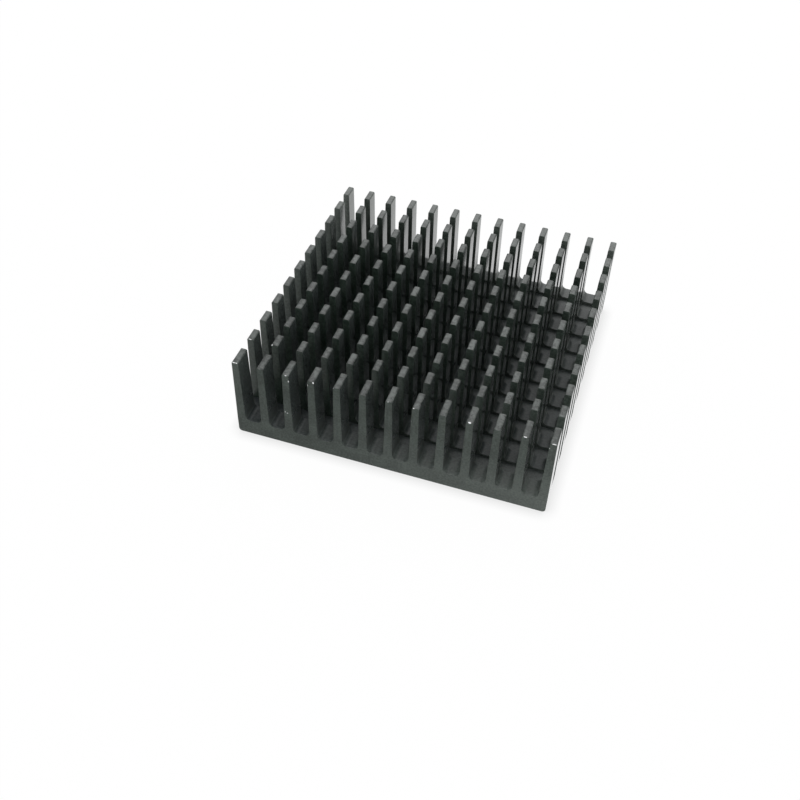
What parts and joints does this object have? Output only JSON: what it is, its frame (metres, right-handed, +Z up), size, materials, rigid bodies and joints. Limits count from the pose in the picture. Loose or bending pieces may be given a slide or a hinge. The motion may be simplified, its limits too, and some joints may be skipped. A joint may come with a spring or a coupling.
{
  "type": "pin fin heat sink",
  "caption": "Square black anodised heat sink: a flat base with a grid of upright rectangular pins, sawn from one finned extrusion.",
  "frame": {"origin": "middle of the flat resting face", "axes": "+Z up, out of the base along the pins; +X across the fins, +Y along the extrusion, with the longer end pins at -Y"},
  "size_m": [0.04, 0.04, 0.012],
  "materials": {
    "black_anodising": "satin black anodised"
  },
  "bodies": {
    "root": {"heat_sink": "black_anodising"}
  },
  "joints": []
}
